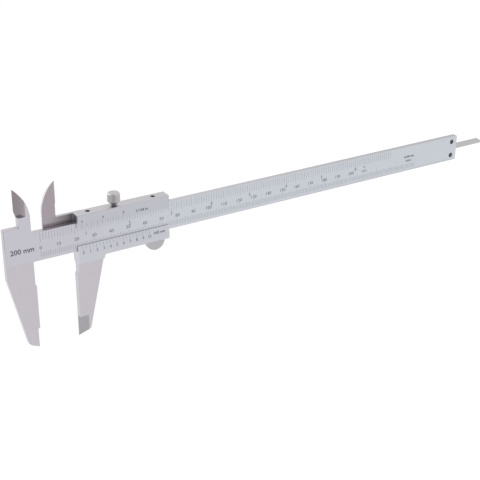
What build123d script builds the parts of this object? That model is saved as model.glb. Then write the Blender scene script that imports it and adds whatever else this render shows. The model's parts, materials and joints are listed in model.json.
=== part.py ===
from build123d import *
import os

# A 200 mm (8 in) vernier caliper, in millimetres.
#
# x runs along the beam in the opening direction, y through its thickness from front to back,
# z up across its width. The saved parts have their origin at the centre of the fixed jaw's flat
# measuring face. While modelling, z = 0 is the beam's centreline, and the sliding pieces are drawn
# with the jaws closed, so both measuring faces lie at x = 0.

# ---- Driving dimensions ----
OPENING = 22.8  # distance between the outside jaws as the part is saved

BEAM_WIDTH = 16.0
BEAM_THICKNESS = 3.5
BEAM_END = 289.0
BEAM_CHAMFER = 0.25
END_CORNER = 0.8
EDGE_BREAK = 0.2  # chamfer along the outer edges of the jaws and blades

HEAD_LEFT = -15.4
SHOULDER_TOP = 12.4
RELIEF = 0.7  # undercut beside the measuring faces
FACE_TOP = -21.9
FACE_FOOT = -46.7  # below this the outside jaws are thinned
JAW_TIP = -59.2
RELIEF_FOOT = FACE_TOP + 1.5
THIN_WIDTH = 5.1  # width of the hollow-ground strip at an outside tip
THIN_DEPTH = 2.6  # how far that grind has eaten in at the measuring face
GRIND_RADIUS = 30.0

KNIFE_X = -8.1  # the inside jaws' knife edges, with the jaws closed
KNIFE_TIP = 32.4
KNIFE_FOOT = 20.6
NECK_X = -7.2
NECK_TOP = 17.4
BLADE_BEND = 16.2  # height where the round back of a blade starts
BLADE_GRIND = 5.0  # width of the hollow-ground strip on a blade
BLADE_LAND = 0.2
BLADE_RADIUS = 30.0
RUNOUT_RADIUS = 8.0
RUNOUT_FOOT = 17.7

PLAY = 0.05  # sliding clearance all round the beam
FRONT_WALL = 1.85
BACK_WALL = 1.75
SLIDER_LEFT = 0.9
SLIDER_RIGHT = 54.8
SLIDER_TOP = 12.7
SLIDER_BOTTOM = -12.65
SLIDER_CHAMFER = 0.4
WINDOW = 5.0  # half the height of the window onto the beam's scales
VERNIER_EDGE = 0.4  # thickness left at the window's edge
VERNIER_BEVEL = 5.0  # height of the bevel that carries a vernier scale
JAW_STEP = -14.8  # where the sliding jaw's front and back step in
JAW_STEP_DEPTH = 1.0
JAW_RIGHT_TOP = 15.8
JAW_RIGHT_FOOT = 6.3
FACE_BREAK = 0.5  # chamfer along the back edge of the sliding jaw's measuring face
JAW_CORNER = -54.9
JAW_FILLET = 0.8
BLADE_LEFT = -16.0
BLADE_BOTTOM = 2.6

GIB_LENGTH = 47.0
GIB_WIDTH = 3.2
GIB_THICKNESS = 0.9
GIB_POCKET_TOP = 9.2
GIB_LIFT = 0.02
GIB_SCREW_X = (8.5, 46.7)
GIB_SCREW_DIAMETER = 2.5
GIB_SCREW_TOP = 12.1

LOCK_X = 23.7
LOCK_DIAMETER = 3.0
LOCK_HEAD_DIAMETER = 6.8
LOCK_HEAD_BOTTOM = 15.2
LOCK_HEAD_TOP = 19.8
LOCK_NECK_DIAMETER = 3.8
KNURL_GROOVES = 34

THUMB_X = 47.4
THUMB_Z = SLIDER_BOTTOM
THUMB_DROP = 0.6  # how far the disc's centre lies below the slider
THUMB_RADIUS = 5.6
THUMB_FRONT = -1.5
THUMB_BACK = 2.3
THUMB_GROOVES = 13
TANG_WIDTH = 8.6
TANG_HEIGHT = 3.0
TANG_Y = (-0.8, 1.6)
PIN_DIAMETER = 1.5
PIN_SPREAD = 3.0
PIN_Z = -11.3
PIN_FRONT = -1.7

ROD_WIDTH = 3.2
ROD_FRONT = 0.05
ROD_BACK = 1.55
ROD_ROOT = 38.0
ROD_TIP_LENGTH = 2.2
ROD_TIP_TOP = 0.2
GROOVE_WIDTH = 3.4
GROOVE_LEFT = 25.0
TAB = (40.0, 46.0)
COVER = (35.0, 51.0)
COVER_HEIGHT = 8.4
COVER_THICKNESS = 0.8
COVER_SCREW_X = (37.2, 48.8)
COVER_SCREW_DIAMETER = 1.9
COVER_HEAD_DIAMETER = 3.3

STOP_LEFT = 280.5
STOP_HEIGHT = 14.4
STOP_THICKNESS = 1.0
STOP_SCREW_X = 284.5
STOP_SCREW_Z = 4.45
STOP_SCREW_DIAMETER = 2.9
STOP_HEAD_DIAMETER = 4.2
STOP_HEAD_HEIGHT = 0.75
STOP_SCREW_RECESS = 0.3

FIT = 0.03  # radial gap round pins and screws
SLOT_WIDTH = 0.45
SLOT_DEPTH = 0.5
REACH = 5.0  # how far a cutter passes beyond what it cuts

# ---- Sizes that follow from them ----
HALF_W = BEAM_WIDTH / 2
HALF_T = BEAM_THICKNESS / 2
FACE_CENTRE = (FACE_TOP + FACE_FOOT) / 2
INNER_FRONT = -HALF_T - PLAY
INNER_BACK = HALF_T + PLAY
SLIDER_FRONT = INNER_FRONT - FRONT_WALL
SLIDER_BACK = INNER_BACK + BACK_WALL
GIB_BOTTOM = HALF_W + GIB_LIFT
GIB_TOP = GIB_BOTTOM + GIB_THICKNESS
GIB_MIDDLE = (SLIDER_LEFT + SLIDER_RIGHT) / 2
SCREW_TIP = GIB_TOP + GIB_LIFT
POCKET_Y = SLIDER_BACK - COVER_THICKNESS


# ---- Shared shapes ----
def block(x, y, z):
    """A box between a pair of limits on each axis."""
    centre = Pos((x[0] + x[1]) / 2, (y[0] + y[1]) / 2, (z[0] + z[1]) / 2)
    return centre * Box(x[1] - x[0], y[1] - y[0], z[1] - z[0])


def plate(face, y_front, y_back):
    """A flat face drawn in x and z, filled from y_front to y_back."""
    placed = Pos(0, y_front, 0) * (Plane.XZ * face)
    return extrude(placed, amount=y_back - y_front, dir=(0, 1, 0))


def bar(face, x_left, x_right):
    """A face drawn in y and z, filled from x_left to x_right."""
    placed = Pos(x_left, 0, 0) * (Plane.YZ * face)
    return extrude(placed, amount=x_right - x_left, dir=(1, 0, 0))


def polygon(*points):
    """A face with straight sides."""
    return make_face(Polyline(*points, close=True))


def upright_pin(x, y, z_low, z_high, diameter):
    """A round bar along z."""
    middle = Pos(x, y, (z_low + z_high) / 2)
    return middle * Cylinder(diameter / 2, z_high - z_low)


def cross_pin(x, z, y_front, y_back, diameter):
    """A round bar along y."""
    middle = Pos(x, (y_front + y_back) / 2, z)
    return middle * Rot(90, 0, 0) * Cylinder(diameter / 2, y_back - y_front)


def cross_edges(solid, corners):
    """The edges along y that stand nearest to the given (x, z) corners."""
    edges = solid.edges().filter_by(Axis.Y)
    return [edges.sort_by_distance(Vector(x, 0, z))[0] for x, z in corners]


def nearest_edges(solid, points):
    """The edges that pass nearest to the given (x, y, z) points."""
    return [solid.edges().sort_by_distance(Vector(*point))[0] for point in points]


def grinding_wheel(start, end, radius, side):
    """An upright cylinder whose wall passes through two (x, y) points, bulging away from side."""
    a = Vector(*start)
    b = Vector(*end)
    half = (b - a) * 0.5
    across = Vector(-half.Y, half.X).normalized()
    if across.dot(Vector(*side)) < 0:
        across = across * -1
    centre = a + half + across * (radius**2 - half.length**2) ** 0.5
    return Pos(centre.X, centre.Y, 0) * Cylinder(radius, 8 * BEAM_WIDTH)


def slot_cut(x, y, z):
    """A screwdriver slot along x, cut down into a screw's top at z."""
    return block(
        (x - REACH, x + REACH),
        (y - SLOT_WIDTH / 2, y + SLOT_WIDTH / 2),
        (z - SLOT_DEPTH, z + REACH),
    )


# ---- Blades and tips ----
def fixed_blade():
    """The fixed inside jaw before grinding: a knife edge on the left and a round back."""
    round_back = TangentArc((-RELIEF, BLADE_BEND), (KNIFE_X, KNIFE_TIP), tangent=(0, 1))
    sides = Polyline(
        (KNIFE_X, KNIFE_TIP),
        (KNIFE_X, KNIFE_FOOT),
        (NECK_X, NECK_TOP),
        (NECK_X, 0),
        (-RELIEF, 0),
        (-RELIEF, BLADE_BEND),
    )
    blade = plate(make_face([round_back, sides]), -HALF_T, HALF_T)
    rim = [(x, y, z) for x, z in [(-2.8, 26), (-RELIEF, 14)] for y in (-HALF_T, HALF_T)]
    return chamfer(nearest_edges(blade, rim), EDGE_BREAK)


def runout():
    """The round limit of a blade's hollow grind."""
    middle = Pos(KNIFE_X + BLADE_GRIND / 2, RUNOUT_FOOT + RUNOUT_RADIUS)
    return plate(middle * Circle(RUNOUT_RADIUS), -2 * REACH, 2 * REACH)


def tip_grind():
    """The cutter that thins the fixed outside jaw's tip from the front."""
    start = (-THIN_WIDTH, -HALF_T)
    end = (0, -HALF_T + THIN_DEPTH)
    wheel = grinding_wheel(start, end, GRIND_RADIUS, (1, -1))
    zone = block((-THIN_WIDTH, REACH), (-REACH, REACH), (JAW_TIP - REACH, FACE_FOOT))
    return wheel & zone


# ---- The beam with its fixed jaws ----
def main_beam():
    """The graduated beam and the fixed outside and inside jaws, forged in one piece."""
    beam = block((HEAD_LEFT / 2, BEAM_END), (-HALF_T, HALF_T), (-HALF_W, HALF_W))
    beam = fillet(beam.edges().filter_by(Axis.Y).group_by(Axis.X)[-1], END_CORNER)
    front_back = beam.faces().filter_by(Axis.Y)
    beam = chamfer([edge for face in front_back for edge in face.edges()], BEAM_CHAMFER)

    jaw = plate(
        polygon(
            (HEAD_LEFT, SHOULDER_TOP),
            (-RELIEF, SHOULDER_TOP),
            (-RELIEF, RELIEF_FOOT),
            (0, FACE_TOP),
            (0, JAW_TIP),
            (-5.3, JAW_TIP + 3.5),
            (-6.5, JAW_TIP + 4.7),
            (HEAD_LEFT, -15.5),
        ),
        -HALF_T,
        HALF_T,
    )
    jaw = fillet(cross_edges(jaw, [(HEAD_LEFT, SHOULDER_TOP)]), 0.6)
    jaw = fillet(cross_edges(jaw, [(HEAD_LEFT, -15.5)]), 4.0)
    outer = [(HEAD_LEFT, 0), (-11, -30), (-5.9, JAW_TIP + 4.1), (-3, JAW_TIP + 2), (-11, SHOULDER_TOP)]
    rim = nearest_edges(jaw, [(x, y, z) for x, z in outer for y in (-HALF_T, HALF_T)])
    jaw = chamfer(rim, EDGE_BREAK)
    body = beam + jaw + fixed_blade()

    body = fillet(cross_edges(body, [(NECK_X, SHOULDER_TOP)]), 0.8)
    body = fillet(cross_edges(body, [(-RELIEF, HALF_W), (-RELIEF, -HALF_W)]), 0.8)

    grind_start = (KNIFE_X + BLADE_GRIND, -HALF_T)
    grind_end = (KNIFE_X, HALF_T - BLADE_LAND)
    body -= grinding_wheel(grind_start, grind_end, BLADE_RADIUS, (-1, -1)) & runout()
    body -= tip_grind()

    groove = block((GROOVE_LEFT, BEAM_END + REACH), (0, REACH), (-GROOVE_WIDTH / 2, GROOVE_WIDTH / 2))
    body -= groove + cross_pin(GROOVE_LEFT, 0, 0, REACH, GROOVE_WIDTH)
    for z in (-STOP_SCREW_Z, STOP_SCREW_Z):
        body -= cross_pin(STOP_SCREW_X, z, -REACH, REACH, STOP_SCREW_DIAMETER + 2 * FIT)
    return body


# ---- The end stop ----
def end_stop_plate():
    """The plate on the back of the beam's end that closes the groove and stops the slider."""
    stop = block(
        (STOP_LEFT, BEAM_END - END_CORNER / 2),
        (HALF_T, HALF_T + STOP_THICKNESS),
        (-STOP_HEIGHT / 2, STOP_HEIGHT / 2),
    )
    stop = fillet(stop.edges().filter_by(Axis.Y), 0.8)
    stop = chamfer(stop.faces().sort_by(Axis.Y)[-1].edges(), 0.2)
    for z in (-STOP_SCREW_Z, STOP_SCREW_Z):
        stop -= cross_pin(STOP_SCREW_X, z, 0, REACH, STOP_SCREW_DIAMETER + 2 * FIT)
    return stop


def end_stop_screw(z):
    """A slotted screw from the back, its end just below the beam's front face."""
    seat = HALF_T + STOP_THICKNESS
    head = cross_pin(STOP_SCREW_X, z, seat, seat + STOP_HEAD_HEIGHT, STOP_HEAD_DIAMETER)
    head = chamfer(head.edges().group_by(Axis.Y)[-1], 0.15)
    shank = cross_pin(STOP_SCREW_X, z, -HALF_T + STOP_SCREW_RECESS, seat, STOP_SCREW_DIAMETER)
    shank = chamfer(shank.edges().group_by(Axis.Y)[0], 0.3)
    slot = block(
        (STOP_SCREW_X - SLOT_WIDTH / 2, STOP_SCREW_X + SLOT_WIDTH / 2),
        (seat + STOP_HEAD_HEIGHT - 0.4, seat + REACH),
        (z - REACH, z + REACH),
    )
    return head + shank - slot


# ---- The slider ----
def sliding_jaw():
    """The sliding outside jaw: its outline, cut to a stepped and tapering thickness."""
    outline = polygon(
        (SLIDER_LEFT, -HALF_W - PLAY),
        (SLIDER_LEFT, RELIEF_FOOT),
        (0, FACE_TOP),
        (0, JAW_TIP),
        (JAW_RIGHT_FOOT, JAW_CORNER),
        (JAW_RIGHT_TOP, SLIDER_BOTTOM),
        (JAW_RIGHT_TOP + JAW_FILLET, SLIDER_BOTTOM),
        (JAW_RIGHT_TOP + JAW_FILLET, -HALF_W - PLAY),
    )
    inner_corner = outline.vertices().sort_by_distance((JAW_RIGHT_TOP, SLIDER_BOTTOM))[0]
    outline = plate(fillet(inner_corner, JAW_FILLET), SLIDER_FRONT, SLIDER_BACK)
    profile = polygon(
        (SLIDER_FRONT, 0),
        (SLIDER_FRONT, JAW_STEP),
        (SLIDER_FRONT + JAW_STEP_DEPTH, JAW_STEP),
        (-HALF_T, JAW_TIP),
        (HALF_T, JAW_TIP),
        (HALF_T, JAW_STEP - 1.2),
        (SLIDER_BACK, JAW_STEP + 0.4),
        (SLIDER_BACK, 0),
    )
    jaw = outline & bar(profile, -REACH, JAW_RIGHT_TOP + REACH)
    rim = [(8, -2.05, -45), (8, HALF_T, -45), (3, -HALF_T, JAW_TIP + 2.4), (3, HALF_T, JAW_TIP + 2.4)]
    jaw = chamfer(nearest_edges(jaw, rim), EDGE_BREAK)
    jaw = chamfer(nearest_edges(jaw, [(0, HALF_T, FACE_CENTRE)]), FACE_BREAK)
    return jaw - mirror(tip_grind(), about=Plane.YZ)


def sliding_blade():
    """The sliding inside jaw: a plate behind the beam, ground to a knife edge at its front."""
    round_back = TangentArc((BLADE_LEFT, BLADE_BEND), (KNIFE_X, KNIFE_TIP), tangent=(0, 1))
    corner = 1.5
    sides = Polyline(
        (KNIFE_X, KNIFE_TIP),
        (KNIFE_X, KNIFE_FOOT),
        (KNIFE_X - 0.4, KNIFE_FOOT - 1.2),
        (KNIFE_X - 0.4, SLIDER_TOP),
        (SLIDER_LEFT + REACH, SLIDER_TOP),
        (SLIDER_LEFT + REACH, BLADE_BOTTOM),
        (BLADE_LEFT + corner, BLADE_BOTTOM),
        (BLADE_LEFT, BLADE_BOTTOM + corner),
        (BLADE_LEFT, BLADE_BEND),
    )
    blade = plate(make_face([round_back, sides]), INNER_BACK, SLIDER_BACK)
    rim = [(x, y, z) for x, z in [(-13.2, 26), (BLADE_LEFT, 10)] for y in (INNER_BACK, SLIDER_BACK)]
    blade = chamfer(nearest_edges(blade, rim), EDGE_BREAK)
    grind_start = (KNIFE_X - BLADE_GRIND, SLIDER_BACK)
    grind_end = (KNIFE_X, INNER_BACK + BLADE_LAND)
    wheel = grinding_wheel(grind_start, grind_end, BLADE_RADIUS, (1, 1))
    return blade - (wheel & Pos(-BLADE_GRIND, 0, 0) * runout())


def window_cut():
    """The window onto the beam's scales, with the two bevels that carry the vernier scales."""
    edge = INNER_FRONT - VERNIER_EDGE
    slope = VERNIER_BEVEL / (edge - SLIDER_FRONT)
    outside = SLIDER_FRONT - 0.3
    far = WINDOW + (edge - outside) * slope
    face = polygon(
        (outside, -far),
        (edge, -WINDOW),
        (0, -WINDOW),
        (0, WINDOW),
        (edge, WINDOW),
        (outside, far),
    )
    return bar(face, SLIDER_LEFT - REACH, SLIDER_RIGHT + REACH)


def slider_body():
    """The slider: a sleeve round the beam with both sliding jaws in one piece with it."""
    body = block((SLIDER_LEFT, SLIDER_RIGHT), (SLIDER_FRONT, SLIDER_BACK), (SLIDER_BOTTOM, SLIDER_TOP))
    body = chamfer(body.edges().filter_by(Axis.X) + body.edges().filter_by(Axis.Z), SLIDER_CHAMFER)
    body += sliding_jaw()
    body += sliding_blade()

    body -= block(
        (SLIDER_LEFT - REACH, SLIDER_RIGHT + REACH),
        (INNER_FRONT, INNER_BACK),
        (-HALF_W - PLAY, HALF_W + PLAY),
    )
    body -= window_cut()
    pocket_half = GIB_LENGTH / 2 + 0.1
    body -= block(
        (GIB_MIDDLE - pocket_half, GIB_MIDDLE + pocket_half),
        (-GIB_WIDTH / 2 - PLAY, GIB_WIDTH / 2 + PLAY),
        (0, GIB_POCKET_TOP),
    )
    for x in GIB_SCREW_X:
        body -= upright_pin(x, 0, HALF_W, SLIDER_TOP + REACH, GIB_SCREW_DIAMETER + 2 * FIT)
    body -= upright_pin(LOCK_X, 0, HALF_W, SLIDER_TOP + REACH, LOCK_DIAMETER + 2 * FIT)

    body -= block(
        (THUMB_X - TANG_WIDTH / 2 - FIT, THUMB_X + TANG_WIDTH / 2 + FIT),
        (TANG_Y[0] - FIT, TANG_Y[1] + FIT),
        (THUMB_Z - REACH, THUMB_Z + TANG_HEIGHT + FIT),
    )
    for x in (THUMB_X - PIN_SPREAD, THUMB_X + PIN_SPREAD):
        body -= cross_pin(x, PIN_Z, PIN_FRONT - FIT, SLIDER_BACK + REACH, PIN_DIAMETER + 2 * FIT)

    body -= block(
        (TAB[0] - FIT, TAB[1] + FIT),
        (0, SLIDER_BACK + REACH),
        (-ROD_WIDTH / 2 - FIT, ROD_WIDTH / 2 + FIT),
    )
    body -= cover_blank(FIT)
    for x in COVER_SCREW_X:
        body -= cross_pin(x, 0, 0, SLIDER_BACK + REACH, COVER_SCREW_DIAMETER + 2 * FIT)
    return body


# ---- What holds the slider to the beam ----
def gib_strip():
    """The bronze strip that the screws press down onto the beam's top edge."""
    strip = block(
        (GIB_MIDDLE - GIB_LENGTH / 2, GIB_MIDDLE + GIB_LENGTH / 2),
        (-GIB_WIDTH / 2, GIB_WIDTH / 2),
        (GIB_BOTTOM, GIB_TOP),
    )
    return chamfer(strip.edges().filter_by(Axis.Z), 0.4)


def gib_screw(x):
    """A slotted set screw that adjusts the gib."""
    screw = upright_pin(x, 0, SCREW_TIP, GIB_SCREW_TOP, GIB_SCREW_DIAMETER)
    screw = chamfer(screw.edges().group_by(Axis.Z)[0], 0.5)
    screw = chamfer(screw.edges().group_by(Axis.Z)[-1], 0.15)
    return screw - slot_cut(x, 0, GIB_SCREW_TOP)


def lock_screw():
    """The knurled thumb screw that locks the slider through the gib."""
    shank = LOCK_DIAMETER / 2
    neck = LOCK_NECK_DIAMETER / 2
    head = LOCK_HEAD_DIAMETER / 2
    rim = 0.4
    side = Polyline(
        (0, SCREW_TIP),
        (shank - 0.4, SCREW_TIP),
        (shank, SCREW_TIP + 0.4),
        (shank, SLIDER_TOP + 0.3),
        (neck, SLIDER_TOP + 0.3),
        (neck, SLIDER_TOP + 1.1),
        (head - rim, LOCK_HEAD_BOTTOM - rim),
        (head, LOCK_HEAD_BOTTOM),
        (head, LOCK_HEAD_TOP - rim),
        (head - rim, LOCK_HEAD_TOP),
        (0, LOCK_HEAD_TOP),
        close=True,
    )
    screw = revolve(Plane.XZ * make_face(side), Axis.Z)
    flute = Pos(head + 0.08, 0, (LOCK_HEAD_BOTTOM + LOCK_HEAD_TOP) / 2) * Rot(0, 0, 45)
    flute = flute * Box(0.42, 0.42, 2 * LOCK_HEAD_TOP - 2 * LOCK_HEAD_BOTTOM)
    zone = upright_pin(0, 0, LOCK_HEAD_BOTTOM + 0.1, LOCK_HEAD_TOP - rim - 0.1, 2 * LOCK_HEAD_DIAMETER)
    flute = flute & zone
    screw -= [Rot(0, 0, i * 360 / KNURL_GROOVES) * flute for i in range(KNURL_GROOVES)]
    return Pos(LOCK_X, 0, 0) * screw


# ---- The thumb rest ----
def thumb_rest():
    """Half a disc with a grooved rim, its tang let into the slider's underside."""
    disc = cross_pin(THUMB_X, THUMB_Z - THUMB_DROP, THUMB_FRONT, THUMB_BACK, 2 * THUMB_RADIUS)
    disc = chamfer(disc.edges().filter_by(GeomType.CIRCLE), 0.5)
    disc -= block(
        (THUMB_X - 2 * THUMB_RADIUS, THUMB_X + 2 * THUMB_RADIUS),
        (-REACH, REACH),
        (THUMB_Z, THUMB_Z + 2 * THUMB_RADIUS),
    )
    groove = cross_pin(0, -THUMB_RADIUS - 0.25, -REACH, REACH, 0.9)
    spread = 150 / (THUMB_GROOVES - 1)
    turns = [(i - (THUMB_GROOVES - 1) / 2) * spread for i in range(THUMB_GROOVES)]
    centre = Pos(THUMB_X, 0, THUMB_Z - THUMB_DROP)
    disc -= [centre * Rot(0, turn, 0) * groove for turn in turns]
    tang = block(
        (THUMB_X - TANG_WIDTH / 2, THUMB_X + TANG_WIDTH / 2),
        TANG_Y,
        (THUMB_Z - 1, THUMB_Z + TANG_HEIGHT),
    )
    rest = disc + tang
    for x in (THUMB_X - PIN_SPREAD, THUMB_X + PIN_SPREAD):
        rest -= cross_pin(x, PIN_Z, -REACH, REACH, PIN_DIAMETER + 2 * FIT)
    return rest


def thumb_rest_pin(x):
    """A pin from the slider's back that holds the tang."""
    return cross_pin(x, PIN_Z, PIN_FRONT, SLIDER_BACK, PIN_DIAMETER)


# ---- The depth rod ----
def depth_rod():
    """The rod in the beam's groove, with a tab at its root that reaches into the slider's back."""
    rod = block((ROD_ROOT, BEAM_END), (ROD_FRONT, ROD_BACK), (-ROD_WIDTH / 2, ROD_WIDTH / 2))
    rod = chamfer(rod.edges().filter_by(Axis.X), 0.15)
    rod -= block((BEAM_END - ROD_TIP_LENGTH, BEAM_END + 1), (-REACH, REACH), (ROD_TIP_TOP, REACH))
    rod += block(TAB, ((ROD_FRONT + ROD_BACK) / 2, POCKET_Y - PLAY), (-ROD_WIDTH / 2, ROD_WIDTH / 2))
    return rod


def cover_blank(gap):
    """The cover plate's shape, larger by gap at its edges."""
    blank = block(
        (COVER[0] - gap, COVER[1] + gap),
        (POCKET_Y, SLIDER_BACK),
        (-COVER_HEIGHT / 2 - gap, COVER_HEIGHT / 2 + gap),
    )
    return fillet(blank.edges().filter_by(Axis.Y), 1.0)


def countersunk(x, gap):
    """A countersunk screw's outer shape along y, its head flush with the slider's back."""
    head_depth = (COVER_HEAD_DIAMETER - COVER_SCREW_DIAMETER) / 2
    shank = COVER_SCREW_DIAMETER / 2 + gap
    head = COVER_HEAD_DIAMETER / 2 + gap
    side = polygon(
        (0, INNER_BACK + PLAY),
        (shank, INNER_BACK + PLAY),
        (shank, SLIDER_BACK - head_depth),
        (head, SLIDER_BACK),
        (0, SLIDER_BACK),
    )
    turned = revolve(Plane.XY * side, Axis.Y)
    return Pos(x, 0, 0) * turned


def depth_rod_cover():
    """The flush plate that traps the depth rod's tab in the slider's back."""
    cover = cover_blank(0)
    for x in COVER_SCREW_X:
        cover -= countersunk(x, FIT)
    return cover


def cover_screw(x):
    """A slotted countersunk screw."""
    slot = block(
        (x - REACH, x + REACH),
        (SLIDER_BACK - 0.35, SLIDER_BACK + REACH),
        (-SLOT_WIDTH / 2, SLOT_WIDTH / 2),
    )
    return countersunk(x, 0) - slot


# ---- Saving ----
def save(name, shape, shift=0.0):
    """Write one sub-part, with the origin at the centre of the fixed measuring face."""
    export_step(Pos(shift, 0, -FACE_CENTRE) * shape, f"parts/{name}.step")


os.makedirs("parts", exist_ok=True)

save("main_beam", main_beam())
save("end_stop_plate", end_stop_plate())
save("end_stop_screw_upper", end_stop_screw(STOP_SCREW_Z))
save("end_stop_screw_lower", end_stop_screw(-STOP_SCREW_Z))

save("slider_body", slider_body(), OPENING)
save("gib_strip", gib_strip(), OPENING)
save("gib_screw_left", gib_screw(GIB_SCREW_X[0]), OPENING)
save("gib_screw_right", gib_screw(GIB_SCREW_X[1]), OPENING)
save("lock_screw", lock_screw(), OPENING)
save("thumb_rest", thumb_rest(), OPENING)
save("thumb_rest_pin_left", thumb_rest_pin(THUMB_X - PIN_SPREAD), OPENING)
save("thumb_rest_pin_right", thumb_rest_pin(THUMB_X + PIN_SPREAD), OPENING)
save("depth_rod", depth_rod(), OPENING)
save("depth_rod_cover", depth_rod_cover(), OPENING)
save("cover_screw_left", cover_screw(COVER_SCREW_X[0]), OPENING)
save("cover_screw_right", cover_screw(COVER_SCREW_X[1]), OPENING)
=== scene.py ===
import json
import math

import bmesh
import bpy
from mathutils import Matrix, Vector


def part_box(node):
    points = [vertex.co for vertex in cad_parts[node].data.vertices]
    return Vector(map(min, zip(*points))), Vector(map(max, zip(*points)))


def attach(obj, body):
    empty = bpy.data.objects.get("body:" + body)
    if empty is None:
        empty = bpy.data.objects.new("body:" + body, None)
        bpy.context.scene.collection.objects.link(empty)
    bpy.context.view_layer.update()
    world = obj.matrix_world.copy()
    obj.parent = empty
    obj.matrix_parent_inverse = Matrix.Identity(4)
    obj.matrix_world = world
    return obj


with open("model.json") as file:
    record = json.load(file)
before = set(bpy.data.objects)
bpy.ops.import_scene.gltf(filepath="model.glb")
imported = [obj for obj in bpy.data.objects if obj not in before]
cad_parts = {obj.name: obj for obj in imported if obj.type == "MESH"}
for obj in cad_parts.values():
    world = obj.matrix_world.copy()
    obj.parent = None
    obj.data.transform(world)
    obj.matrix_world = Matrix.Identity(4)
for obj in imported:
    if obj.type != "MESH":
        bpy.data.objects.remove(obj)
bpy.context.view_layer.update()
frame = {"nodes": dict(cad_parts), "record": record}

# The looks of a 200 mm (8 in) vernier caliper: its metals, and the filled lines and numerals of its scales.
# Lengths are in metres, and MM turns millimetres into them.
MM = 0.001
INCH = 25.4 * MM

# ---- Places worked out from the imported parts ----
BEAM_LOW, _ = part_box("main_beam")
SLIDER_LOW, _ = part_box("slider_body")
ROD_LOW, ROD_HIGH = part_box("depth_rod")
CENTRE_Z = (ROD_LOW.z + ROD_HIGH.z) / 2  # the beam's centreline
BEAM_FRONT = BEAM_LOW.y
SLIDER_FRONT = SLIDER_LOW.y
OPENING = next(m["pos_m"][0] for m in frame["record"]["mounts"] if m["name"] == "sliding_jaw_face")

LOCK_HEAD_BOTTOM = CENTRE_Z + 15.2 * MM
HEAD_FINISH_LINE = CENTRE_Z - 7.5 * MM  # the jaw below it is ground
SLIDER_FINISH_LINE = CENTRE_Z - 14.8 * MM
CROSSED_BLADE_FRONT = 1.7 * MM  # the sliding blade and its plate lie behind this y
CROSSED_BLADE_RIGHT = OPENING + 0.85 * MM
CROSSED_BLADE_ROOT = CENTRE_Z + 13 * MM
PLATE_LEFT = OPENING - 8.2 * MM  # right of this, the crossed blade is a low plate
PLATE_TOP = CENTRE_Z + 12.7 * MM
NOWHERE = BEAM_LOW.x - 10 * MM  # left of everything, for the beam, which has no crossed blade

# ---- The scales ----
# Heights on the beam are measured from its centreline, and on a vernier from the window's edge.
ZERO_X = 3.65 * MM  # the beam's zero lines, from the fixed measuring face
LINE_WIDTH = 0.10 * MM
PROUD = 0.012 * MM  # how far the filling stands out of the metal
SUNK = 0.03 * MM
NUMERAL_HEIGHT = 1.9 * MM

METRIC_LENGTH = 250  # millimetres with lines
METRIC_CAPACITY = 200
UNIT_X = ZERO_X + 210 * MM  # the units, beside the last numerals
METRIC_LINE_FOOT = -6.2 * MM
# A line's far end, by the coarsest division that the line falls on:
METRIC_LINE_HEADS = ((10, -2.5 * MM), (5, -2.9 * MM), (1, -3.3 * MM))
METRIC_NUMERAL_Y = -0.8 * MM

INCH_LENGTH = 9 + 1 / 16  # inches with lines
INCH_CAPACITY = 8
INCH_LINE_HEAD = 7.4 * MM
INCH_LINE_FEET = ((16, 2.2 * MM), (4, 2.6 * MM), (1, 3.1 * MM))
INCH_NUMERAL_Y = 1.2 * MM

WINDOW = 5.0 * MM  # half the height of the slider's window
VERNIER_EDGE_Y = SLIDER_FRONT + 1.45 * MM
VERNIER_BEVEL = 5.0 * MM  # height of the bevel that carries a vernier scale
VERNIER_ZERO_X = ZERO_X + OPENING
VERNIER_LINE_WIDTH = 0.09 * MM
VERNIER_LINE_GAP = 0.05 * MM  # from the window's edge to the lines
VERNIER_NUMERAL_HEIGHT = 1.6 * MM

METRIC_VERNIER_SPACES = 20
METRIC_VERNIER_SPACE = 39 * MM / METRIC_VERNIER_SPACES
METRIC_VERNIER_FEET = ((2, -2.9 * MM), (1, -2.1 * MM))
METRIC_VERNIER_NUMERAL_Y = -3.9 * MM

INCH_VERNIER_SPACES = 8
INCH_VERNIER_SPACE = INCH * 15 / 16 / INCH_VERNIER_SPACES
INCH_VERNIER_HEADS = ((4, 3.1 * MM), (1, 2.3 * MM))
INCH_VERNIER_NUMERAL_Y = 4.2 * MM


# ---- Node helpers ----
def make_material(name):
    """A node material, its node tree and its Principled shader."""
    material = bpy.data.materials.new(name)
    material.use_nodes = True
    tree = material.node_tree
    shader = tree.nodes["Principled BSDF"]
    return material, tree, shader


def add_node(tree, kind, **values):
    """A node of one kind, with its properties and its inputs set by name."""
    made = tree.nodes.new(kind)
    for key, value in values.items():
        if hasattr(made, key):
            setattr(made, key, value)
        else:
            made.inputs[key.replace("_", " ")].default_value = value
    return made


def math_node(tree, operation, a, b=None, c=None, clamp=False):
    """The result of a Math node, whose inputs are sockets or numbers."""
    made = tree.nodes.new("ShaderNodeMath")
    made.operation = operation
    made.use_clamp = clamp
    for socket, value in zip(made.inputs, (a, b, c)):
        if value is None:
            continue
        if isinstance(value, (int, float)):
            socket.default_value = value
        else:
            tree.links.new(value, socket)
    return made.outputs[0]


def mix_colours(tree, factor, a, b):
    """A colour between a and b, each a socket or a colour."""
    made = tree.nodes.new("ShaderNodeMix")
    made.data_type = "RGBA"
    for socket, value in ((made.inputs[0], factor), (made.inputs[6], a), (made.inputs[7], b)):
        if isinstance(value, (int, float)):
            socket.default_value = value
        elif isinstance(value, tuple):
            socket.default_value = (*value, 1)
        else:
            tree.links.new(value, socket)
    return made.outputs[2]


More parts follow.
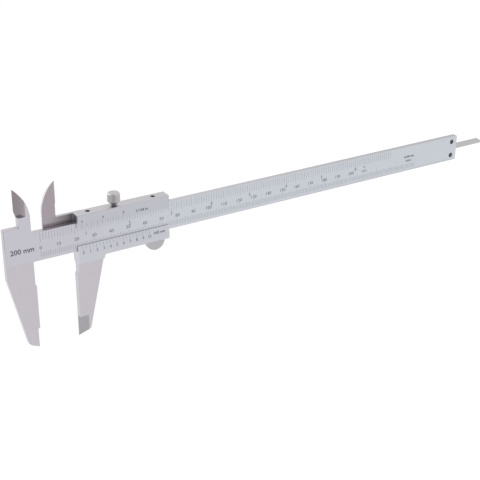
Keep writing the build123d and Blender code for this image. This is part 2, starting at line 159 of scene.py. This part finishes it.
def scale_colour(tree, colour, factor):
    """A colour, as a socket or three numbers, times a number's socket."""
    made = add_node(tree, "ShaderNodeVectorMath", operation="SCALE")
    if isinstance(colour, tuple):
        made.inputs[0].default_value = colour
    else:
        tree.links.new(colour, made.inputs[0])
    tree.links.new(factor, made.inputs["Scale"])
    return made.outputs[0]


def multiply_colours(tree, a, b):
    """The product of two colour sockets."""
    made = add_node(tree, "ShaderNodeVectorMath", operation="MULTIPLY")
    tree.links.new(a, made.inputs[0])
    tree.links.new(b, made.inputs[1])
    return made.outputs[0]


def facing_axes(tree):
    """The x, y and z of the way that the surface faces, in the piece's own axes."""
    split = tree.nodes.new("ShaderNodeSeparateXYZ")
    tree.links.new(tree.nodes.new("ShaderNodeTexCoord").outputs["Normal"], split.inputs[0])
    return split.outputs


def place(tree):
    """The piece's own coordinates, together and then apart, as x, y and z sockets."""
    coordinates = tree.nodes.new("ShaderNodeTexCoord")
    split = tree.nodes.new("ShaderNodeSeparateXYZ")
    tree.links.new(coordinates.outputs["Object"], split.inputs[0])
    return coordinates.outputs["Object"], split.outputs


def noise(tree, vector, scales, detail=4.0, roughness=0.6):
    """Noise stretched by a scale along each axis, in cells per metre."""
    mapping = tree.nodes.new("ShaderNodeMapping")
    mapping.inputs["Scale"].default_value = scales
    tree.links.new(vector, mapping.inputs["Vector"])
    made = add_node(tree, "ShaderNodeTexNoise", Scale=1.0, Detail=detail, Roughness=roughness)
    tree.links.new(mapping.outputs[0], made.inputs["Vector"])
    return made.outputs["Fac"]


def step(tree, value, edge, softness):
    """0 below edge and 1 above it, over a short ramp."""
    ramp = add_node(tree, "ShaderNodeMapRange", interpolation_type="SMOOTHSTEP")
    ramp.inputs["From Min"].default_value = edge - softness
    ramp.inputs["From Max"].default_value = edge + softness
    tree.links.new(value, ramp.inputs["Value"])
    return ramp.outputs[0]


def inverse(tree, value):
    """One minus a socket's value."""
    return math_node(tree, "SUBTRACT", 1, value)


def both(tree, a, b):
    """1 where two masks are both 1."""
    return math_node(tree, "MULTIPLY", a, b)


def upper_half(tree, axes):
    """1 above the beam's centreline, over a wide ramp."""
    return step(tree, axes[2], CENTRE_Z, 6 * MM)


def top_face(tree, facing):
    """1 where the surface faces straight up."""
    return step(tree, facing[2], 0.90, 0.05)


def speckled(tree, fineness, detail, dark, light):
    """A colour that wanders between two."""
    vector, _ = place(tree)
    return mix_colours(tree, noise(tree, vector, (fineness,) * 3, detail=detail), dark, light)


# ---- Metals ----
WHITE = (1.0, 1.0, 1.0)
# Painted light: top faces take a warmer, less blue tint, as if lit from above.
TOP_FACE_LIGHT = (0.99, 0.945, 0.91)
HEAD_CHROME = (0.575, 0.56, 0.615)
BEAM_CHROME = (0.60, 0.625, 0.675)
SLIDER_CHROME = (0.583, 0.592, 0.640)
GROUND = (0.555, 0.53, 0.57)
BLADE_STEEL = (0.385, 0.345, 0.37)  # the bevels of the inside jaws, and the crossed blade
DEEP_STEEL = (0.15, 0.142, 0.15)  # the crossed blade's low part, in the slider's shade
# Painted highlight on the crossed blade's left-facing edges and on its plate's top edge.
BLADE_RIM_HIGHLIGHT = (0.83, 0.82, 0.83)  # the crossed blade's bright edges
# Painted shade on the beam's bottom edge towards its far end.
FAR_BOTTOM_SHADE = (0.80, 0.80, 0.80)
# Painted shade and light on the lock screw's neck under its head.
NECK_DARK = (0.16, 0.16, 0.165)
NECK_MIDDLE = (0.80, 0.79, 0.80)
NECK_LIGHT = (0.70, 0.69, 0.70)


def metal_base(tree, shader, colour, roughness, grain, grain_depth, mottle=0.03):
    """Sets up a metal with grain: stretched noise for the colour, the roughness and a fine bump."""
    vector, axes = place(tree)
    lines = noise(tree, vector, grain)
    cloud = noise(tree, vector, (90, 90, 90), detail=3.0)
    streaks = math_node(tree, "MULTIPLY_ADD", lines, 2 * mottle, 1 - mottle)
    patches = math_node(tree, "MULTIPLY_ADD", cloud, 2 * mottle, 1 - mottle)
    tint = scale_colour(tree, colour, math_node(tree, "MULTIPLY", streaks, patches))
    shader.inputs["Metallic"].default_value = 1.0
    rough = math_node(tree, "MULTIPLY_ADD", lines, 0.16, roughness - 0.08, clamp=True)
    tree.links.new(rough, shader.inputs["Roughness"])
    bump = add_node(tree, "ShaderNodeBump", Strength=1.0, Distance=grain_depth)
    tree.links.new(lines, bump.inputs["Height"])
    tree.links.new(bump.outputs[0], shader.inputs["Normal"])
    return tint, rough, axes


def plain_metal(name, colour, roughness, grain, grain_depth=0.002 * MM):
    """A metal of one colour, with grain."""
    material, tree, shader = make_material(name)
    tint, _, _ = metal_base(tree, shader, colour, roughness, grain, grain_depth)
    tree.links.new(tint, shader.inputs["Base Color"])
    return material


def thumb_screw_metal():
    """Knurled steel with a painted highlight on its rim's chamfer, and painted shade on the neck under the
    head.
    """
    material, tree, shader = make_material("lock_screw_metal")
    tint, _, axes = metal_base(tree, shader, (0.56, 0.54, 0.55), 0.36, (1800, 1800, 300), 0.002 * MM)
    facing = facing_axes(tree)
    rising = step(tree, facing[2], 0.40, 0.10)
    chamfered = both(tree, rising, inverse(tree, top_face(tree, facing)))
    # Painted highlight on the head's rim chamfer.
    rim_glint = both(tree, chamfered, step(tree, facing[1], -0.55, 0.15))
    head = mix_colours(tree, rim_glint, tint, (0.95, 0.94, 0.95))
    # Painted shade on the neck under the head, lighter near its top and towards its sides.
    upper_neck = step(tree, axes[2], LOCK_HEAD_BOTTOM - 1.0 * MM, 1.0 * MM)
    neck = mix_colours(tree, upper_neck, NECK_DARK, NECK_MIDDLE)
    neck = mix_colours(tree, step(tree, facing[0], 0.30, 0.30), neck, NECK_MIDDLE)
    neck = mix_colours(tree, step(tree, facing[1], -0.45, 0.20), neck, NECK_LIGHT)
    above = step(tree, axes[2], LOCK_HEAD_BOTTOM, 0.1 * MM)
    tree.links.new(mix_colours(tree, above, neck, head), shader.inputs["Base Color"])
    return material


def satin_chrome(tree, axes, facing, grain_tint, chromes, upper_shade, end_shade):
    """The chrome's colour: it drifts along the beam from the first of two colours to the second.

    Its upper half is multiplied by upper_shade, a painted shade, its top faces by a less blue painted light
    instead, its upper left ends by end_shade, a painted light, and its bottom edge by a darker painted
    shade towards the beam's end."""
    near, far = chromes
    upper = upper_half(tree, axes)
    # Painted shade: the upper half is darker by upper_shade.
    shade = mix_colours(tree, upper, WHITE, (upper_shade,) * 3)
    # Painted light: top faces take the less blue tint.
    shade = mix_colours(tree, top_face(tree, facing), shade, TOP_FACE_LIGHT)
    # Painted light: the upper left ends are brighter by end_shade.
    left_end = inverse(tree, step(tree, facing[0], -0.80, 0.05))
    shade = mix_colours(tree, both(tree, upper, left_end), shade, (end_shade,) * 3)
    # Painted shade: the bottom edge is darker towards the beam's end.
    bottom = inverse(tree, step(tree, axes[2], CENTRE_Z - 7.2 * MM, 0.7 * MM))
    far_bottom = both(tree, bottom, step(tree, axes[0], 200 * MM, 70 * MM))
    shade = mix_colours(tree, far_bottom, shade, FAR_BOTTOM_SHADE)
    colour = mix_colours(tree, step(tree, axes[0], 45 * MM, 50 * MM), near, far)
    return multiply_colours(tree, multiply_colours(tree, grain_tint, colour), shade)


def jaw_metal(name, chromes, finish_line, blade_right, upper_shade, end_shade):
    """Satin chrome with ground jaws: ground below a finish line, on the bevels and on the crossed blade."""
    material, tree, shader = make_material(name)
    facing = facing_axes(tree)
    grain = (700, 2500, 2500)
    grain_tint, satin_rough, axes = metal_base(tree, shader, WHITE, 0.34, grain, 0.0012 * MM, 0.02)
    chrome = satin_chrome(tree, axes, facing, grain_tint, chromes, upper_shade, end_shade)

    leftward = inverse(tree, step(tree, facing[0], -0.30, 0.02))
    bevel = both(tree, leftward, inverse(tree, step(tree, facing[1], -0.40, 0.02)))
    behind = step(tree, axes[1], CROSSED_BLADE_FRONT, 0.02 * MM)
    blade = both(tree, behind, inverse(tree, step(tree, axes[0], blade_right, 0.05 * MM)))
    low = inverse(tree, step(tree, axes[2], CROSSED_BLADE_ROOT, 1.5 * MM))
    deep = both(tree, low, step(tree, axes[0], blade_right - 7.3 * MM, 7.5 * MM))
    above = step(tree, axes[2], finish_line, 0.06 * MM)
    satin = both(tree, both(tree, above, inverse(tree, bevel)), inverse(tree, blade))

    vector, _ = place(tree)
    lines = noise(tree, vector, (2600, 2600, 160))
    on_plate = step(tree, axes[0], PLATE_LEFT, 0.3 * MM)
    plate_top = both(tree, on_plate, step(tree, axes[2], PLATE_TOP, 0.35 * MM))
    blade_tint = mix_colours(tree, deep, BLADE_STEEL, DEEP_STEEL)
    # Painted highlights: the plate's top edge and the blade's left-facing edges.
    blade_tint = mix_colours(tree, plate_top, blade_tint, BLADE_RIM_HIGHLIGHT)
    blade_tint = mix_colours(tree, leftward, blade_tint, BLADE_RIM_HIGHLIGHT)
    steel = mix_colours(tree, both(tree, bevel, upper_half(tree, axes)), GROUND, BLADE_STEEL)
    steel = mix_colours(tree, blade, steel, blade_tint)
    steel = scale_colour(tree, steel, math_node(tree, "MULTIPLY_ADD", lines, 0.10, 0.95))
    tree.links.new(mix_colours(tree, satin, steel, chrome), shader.inputs["Base Color"])

    rough = tree.nodes.new("ShaderNodeMix")
    tree.links.new(satin, rough.inputs[0])
    tree.links.new(math_node(tree, "MULTIPLY_ADD", lines, 0.14, 0.17), rough.inputs[2])
    tree.links.new(satin_rough, rough.inputs[3])
    tree.links.new(rough.outputs[0], shader.inputs["Roughness"])
    return material


def ink_material():
    """The dark filling of the engraved lines and numerals."""
    material, tree, shader = make_material("scale_ink")
    colour = speckled(tree, 1500, 2.0, (0.035, 0.045, 0.07), (0.09, 0.10, 0.14))
    tree.links.new(colour, shader.inputs["Base Color"])
    shader.inputs["Roughness"].default_value = 0.55
    return material


def oxide_material():
    """Black oxide on small screws, rubbed paler in places."""
    material, tree, shader = make_material("black_oxide")
    colour = speckled(tree, 1200, 3.0, (0.02, 0.022, 0.03), (0.16, 0.165, 0.18))
    tree.links.new(colour, shader.inputs["Base Color"])
    shader.inputs["Metallic"].default_value = 0.6
    shader.inputs["Roughness"].default_value = 0.5
    return material


def dress(node, material):
    """Gives a CAD node one material."""
    mesh = frame["nodes"][node].data
    mesh.materials.clear()
    mesh.materials.append(material)


# ---- Marks ----
def surface(origin, up, normal):
    """The matrix that puts a flat drawing, x along the beam and y up, onto a face."""
    along = Vector((1, 0, 0))
    columns = (along, Vector(up).normalized(), Vector(normal).normalized(), Vector(origin))
    return Matrix([[*(c[i] for c in columns)] for i in range(3)] + [[0, 0, 0, 1]])


FLAT_FRONT = surface((0, BEAM_FRONT, CENTRE_Z), (0, 0, 1), (0, -1, 0))
BEVEL_RISE = SLIDER_FRONT - VERNIER_EDGE_Y
UPPER_BEVEL = surface(
    (0, VERNIER_EDGE_Y, CENTRE_Z + WINDOW),
    (0, BEVEL_RISE, VERNIER_BEVEL),
    (0, -VERNIER_BEVEL, BEVEL_RISE),
)
LOWER_BEVEL = surface(
    (0, VERNIER_EDGE_Y, CENTRE_Z - WINDOW),
    (0, -BEVEL_RISE, VERNIER_BEVEL),
    (0, -VERNIER_BEVEL, -BEVEL_RISE),
)


def add_bar(mesh, x, y_low, y_high, width):
    """One line of a scale, as a thin closed bar through the surface."""
    corners = [
        mesh.verts.new((x + side * width / 2, y, z))
        for z in (-SUNK, PROUD)
        for side, y in ((-1, y_low), (1, y_low), (1, y_high), (-1, y_high))
    ]
    mesh.faces.new(corners[3::-1])
    mesh.faces.new(corners[4:])
    for i in range(4):
        j = (i + 1) % 4
        mesh.faces.new((corners[i], corners[j], corners[j + 4], corners[i + 4]))


def add_text(mesh, text, x, y, height, bold=0.0):
    """Text centred on a point, as closed letters through the surface."""
    curve = bpy.data.curves.new("lettering", "FONT")
    curve.body = text
    curve.extrude = 0.5
    curve.offset = bold
    curve.resolution_u = 3
    holder = bpy.data.objects.new("lettering", curve)
    bpy.context.scene.collection.objects.link(holder)
    depsgraph = bpy.context.evaluated_depsgraph_get()
    letters = bpy.data.meshes.new_from_object(holder.evaluated_get(depsgraph))
    bpy.data.objects.remove(holder)
    xs = [v.co.x for v in letters.vertices]
    ys = [v.co.y for v in letters.vertices]
    scale = height / (max(ys) - min(ys))
    middle = ((max(xs) + min(xs)) / 2, (max(ys) + min(ys)) / 2)
    for v in letters.vertices:
        depth = PROUD if v.co.z > 0 else -SUNK
        v.co = (x + (v.co.x - middle[0]) * scale, y + (v.co.y - middle[1]) * scale, depth)
    mesh.from_mesh(letters)
    bpy.data.meshes.remove(letters)


def finish_marks(mesh, name, matrix, body, material):
    """Turns drawn marks into a piece on a face, riding on a body."""
    bmesh.ops.remove_doubles(mesh, verts=mesh.verts, dist=1e-7)
    data = bpy.data.meshes.new(name)
    mesh.to_mesh(data)
    mesh.free()
    data.transform(matrix)
    data.materials.clear()
    data.materials.append(material)
    piece = bpy.data.objects.new(name, data)
    bpy.context.scene.collection.objects.link(piece)
    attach(piece, body)


def line_end(number, ends):
    """Where a line ends, from the coarsest division that its number falls on."""
    return next(end for division, end in ends if number % division == 0)


def metric_lines():
    """A line each millimetre, longer at 5 and longest at 10."""
    mesh = bmesh.new()
    for i in range(METRIC_LENGTH + 1):
        add_bar(mesh, ZERO_X + i * MM, METRIC_LINE_FOOT, line_end(i, METRIC_LINE_HEADS), LINE_WIDTH)
    return mesh


def inch_lines():
    """A line each sixteenth of an inch, longer at the quarters and longest at the inches."""
    mesh = bmesh.new()
    for i in range(round(INCH_LENGTH * 16) + 1):
        add_bar(mesh, ZERO_X + i * INCH / 16, line_end(i, INCH_LINE_FEET), INCH_LINE_HEAD, LINE_WIDTH)
    return mesh


def beam_numerals():
    """The metric and inch numerals, and the unit beside each row's end."""
    mesh = bmesh.new()
    for i in range(0, METRIC_CAPACITY + 1, 10):
        add_text(mesh, str(i), ZERO_X + i * MM, METRIC_NUMERAL_Y, NUMERAL_HEIGHT)
    for i in range(1, INCH_CAPACITY + 1):
        add_text(mesh, str(i), ZERO_X + i * INCH, INCH_NUMERAL_Y, NUMERAL_HEIGHT)
    add_text(mesh, "mm", UNIT_X, -1.2 * MM, 1.2 * MM)
    add_text(mesh, "in", UNIT_X, 1.5 * MM, 1.4 * MM)
    return mesh


def range_marks():
    """The range on the fixed head, and the ranges in both units near the beam's end."""
    mesh = bmesh.new()
    add_text(mesh, "200 mm", -6.3 * MM, -0.4 * MM, 2.9 * MM, bold=0.02)
    add_text(mesh, "0-200 mm", 249.3 * MM, 1.5 * MM, 1.5 * MM, bold=0.03)
    add_text(mesh, "0-8 in", 249.0 * MM, -1.2 * MM, 1.5 * MM, bold=0.03)
    return mesh


def metric_vernier():
    """Twenty spaces over 39 mm, numbered 0 to 10, with the resolution."""
    mesh = bmesh.new()
    for i in range(METRIC_VERNIER_SPACES + 1):
        x = VERNIER_ZERO_X + i * METRIC_VERNIER_SPACE
        add_bar(mesh, x, line_end(i, METRIC_VERNIER_FEET), -VERNIER_LINE_GAP, VERNIER_LINE_WIDTH)
    for i in range(11):
        x = VERNIER_ZERO_X + 2 * i * METRIC_VERNIER_SPACE
        add_text(mesh, str(i), x, METRIC_VERNIER_NUMERAL_Y, VERNIER_NUMERAL_HEIGHT)
    add_text(mesh, "0.05 mm", VERNIER_ZERO_X + 45.1 * MM, -2.7 * MM, 1.45 * MM, bold=0.025)
    return mesh


def inch_vernier():
    """Eight spaces over fifteen sixteenths of an inch, numbered 0, 4 and 8, with the resolution."""
    mesh = bmesh.new()
    for i in range(INCH_VERNIER_SPACES + 1):
        x = VERNIER_ZERO_X + i * INCH_VERNIER_SPACE
        add_bar(mesh, x, VERNIER_LINE_GAP, line_end(i, INCH_VERNIER_HEADS), VERNIER_LINE_WIDTH)
    for i in (0, 4, 8):
        x = VERNIER_ZERO_X + i * INCH_VERNIER_SPACE
        add_text(mesh, str(i), x, INCH_VERNIER_NUMERAL_Y, VERNIER_NUMERAL_HEIGHT)
    add_text(mesh, "1/128 in", VERNIER_ZERO_X + 34.9 * MM, 3.0 * MM, 1.7 * MM, bold=0.02)
    return mesh


# ---- Dressing the object ----
beam_metal = jaw_metal("beam_metal", (HEAD_CHROME, BEAM_CHROME), HEAD_FINISH_LINE, NOWHERE, 1.0, 1.0)
# On the slider, 0.92 paints shade on the upper half and 1.4 paints light on the upper left ends.
slider_metal = jaw_metal(
    "slider_metal", (SLIDER_CHROME, SLIDER_CHROME), SLIDER_FINISH_LINE, CROSSED_BLADE_RIGHT, 0.92, 1.4
)
rod_metal = plain_metal("rod_metal", (0.52, 0.515, 0.535), 0.34, (120, 2600, 2600))
thumb_metal = plain_metal("thumb_rest_metal", (0.48, 0.475, 0.50), 0.40, (1400, 1400, 1400))
lock_metal = thumb_screw_metal()
cover_metal = plain_metal("cover_metal", (0.58, 0.585, 0.61), 0.36, (300, 2600, 2600))
pin_metal = plain_metal("pin_metal", (0.44, 0.44, 0.46), 0.36, (1500, 1500, 1500))
bronze = plain_metal("bronze", (0.62, 0.42, 0.22), 0.38, (200, 2600, 2600))
oxide = oxide_material()
ink = ink_material()

for node, material in {
    "main_beam": beam_metal,
    "slider_body": slider_metal,
    "depth_rod": rod_metal,
    "thumb_rest": thumb_metal,
    "lock_screw": lock_metal,
    "depth_rod_cover": cover_metal,
    "end_stop_plate": cover_metal,
    "cover_screw_left": pin_metal,
    "cover_screw_right": pin_metal,
    "thumb_rest_pin_left": pin_metal,
    "thumb_rest_pin_right": pin_metal,
    "gib_strip": bronze,
    "gib_screw_left": oxide,
    "gib_screw_right": oxide,
    "end_stop_screw_upper": oxide,
    "end_stop_screw_lower": oxide,
}.items():
    dress(node, material)

finish_marks(metric_lines(), "metric_scale_lines", FLAT_FRONT, "beam", ink)
finish_marks(inch_lines(), "inch_scale_lines", FLAT_FRONT, "beam", ink)
finish_marks(beam_numerals(), "beam_numerals", FLAT_FRONT, "beam", ink)
finish_marks(range_marks(), "range_marks", FLAT_FRONT, "beam", ink)
finish_marks(metric_vernier(), "metric_vernier_marks", LOWER_BEVEL, "slider", ink)
finish_marks(inch_vernier(), "inch_vernier_marks", UPPER_BEVEL, "slider", ink)


# ---- Camera ----
CAMERA_PLACE = (-174.31 * MM, -463.66 * MM, 264.70 * MM)
CAMERA_HEADING = 32.895  # degrees from +Y towards +X
CAMERA_PITCH = -24.974
CAMERA_ROLL = 0.631
FOCAL_LENGTH = 79.061  # on a 36 mm sensor


def add_camera():
    """The camera at the photograph's viewing angle."""
    data = bpy.data.cameras.new("camera")
    data.sensor_width = 36
    data.lens = FOCAL_LENGTH
    data.clip_start = 0.01
    data.clip_end = 50
    camera = bpy.data.objects.new("camera", data)
    bpy.context.scene.collection.objects.link(camera)
    heading = Matrix.Rotation(math.radians(-CAMERA_HEADING), 4, "Z")
    pitch = Matrix.Rotation(math.radians(90 + CAMERA_PITCH), 4, "X")
    roll = Matrix.Rotation(math.radians(CAMERA_ROLL), 4, "Z")
    camera.matrix_world = Matrix.Translation(CAMERA_PLACE) @ heading @ pitch @ roll
    bpy.context.scene.camera = camera


# ---- Studio ----
FLOOR_REACH = 6.0  # from the origin to each side of the floor
FLOOR_DROP = 4 * MM  # from the jaw tips down to the floor
# Each card: the direction to it, the cosine at its rim, the softness of the rim, and the change in light.
STUDIO_CARDS = (
    ((-0.46, -0.77, -0.42), 0.935, 0.03, -0.31),  # front left, low
    ((0.45, -0.72, 0.55), 0.97, 0.02, -0.35),  # front right, high
    ((-0.45, -0.35, 0.82), 0.86, 0.10, -0.70),  # overhead
    ((-0.50, 0.76, -0.41), 0.80, 0.18, 0.05),  # back left, low
    ((0.85, 0.45, 0.28), 0.87, 0.10, -0.25),  # right
)


def lobe(tree, vector, direction, edge, softness):
    """1 near a direction and 0 away from it; edge and softness are cosines."""
    nearness = tree.nodes.new("ShaderNodeVectorMath")
    nearness.operation = "DOT_PRODUCT"
    nearness.inputs[1].default_value = Vector(direction).normalized()
    tree.links.new(vector, nearness.inputs[0])
    return step(tree, nearness.outputs["Value"], edge, softness)


def studio_world():
    """White all round, with dim cards in front, overhead and to the right, and a bright one at the back."""
    world = bpy.data.worlds.new("studio")
    bpy.context.scene.world = world
    world.use_nodes = True
    tree = world.node_tree
    background = tree.nodes["Background"]
    vector = tree.nodes.new("ShaderNodeTexCoord").outputs["Generated"]
    light = 1.0
    for direction, edge, softness, change in STUDIO_CARDS:
        card = lobe(tree, vector, direction, edge, softness)
        light = math_node(tree, "MULTIPLY_ADD", card, change, light)
    background.inputs["Color"].default_value = (1, 1, 1, 1)
    tree.links.new(light, background.inputs["Strength"])


def floor():
    """A plain white floor, lit evenly like a light table."""
    mesh = bpy.data.meshes.new("floor")
    low = BEAM_LOW.z - FLOOR_DROP
    reach = FLOOR_REACH
    corners = [(-reach, -reach, low), (reach, -reach, low), (reach, reach, low), (-reach, reach, low)]
    mesh.from_pydata(corners, [], [(0, 1, 2, 3)])
    piece = bpy.data.objects.new("floor", mesh)
    bpy.context.scene.collection.objects.link(piece)
    material, tree, shader = make_material("floor_white")
    shader.inputs["Base Color"].default_value = (0.02, 0.02, 0.02, 1)
    shader.inputs["Roughness"].default_value = 0.9
    shader.inputs["Emission Color"].default_value = (1, 1, 1, 1)
    shader.inputs["Emission Strength"].default_value = 0.985
    mesh.materials.append(material)
    piece.visible_glossy = False


add_camera()
studio_world()
floor()
bpy.context.scene.view_settings.view_transform = "Standard"
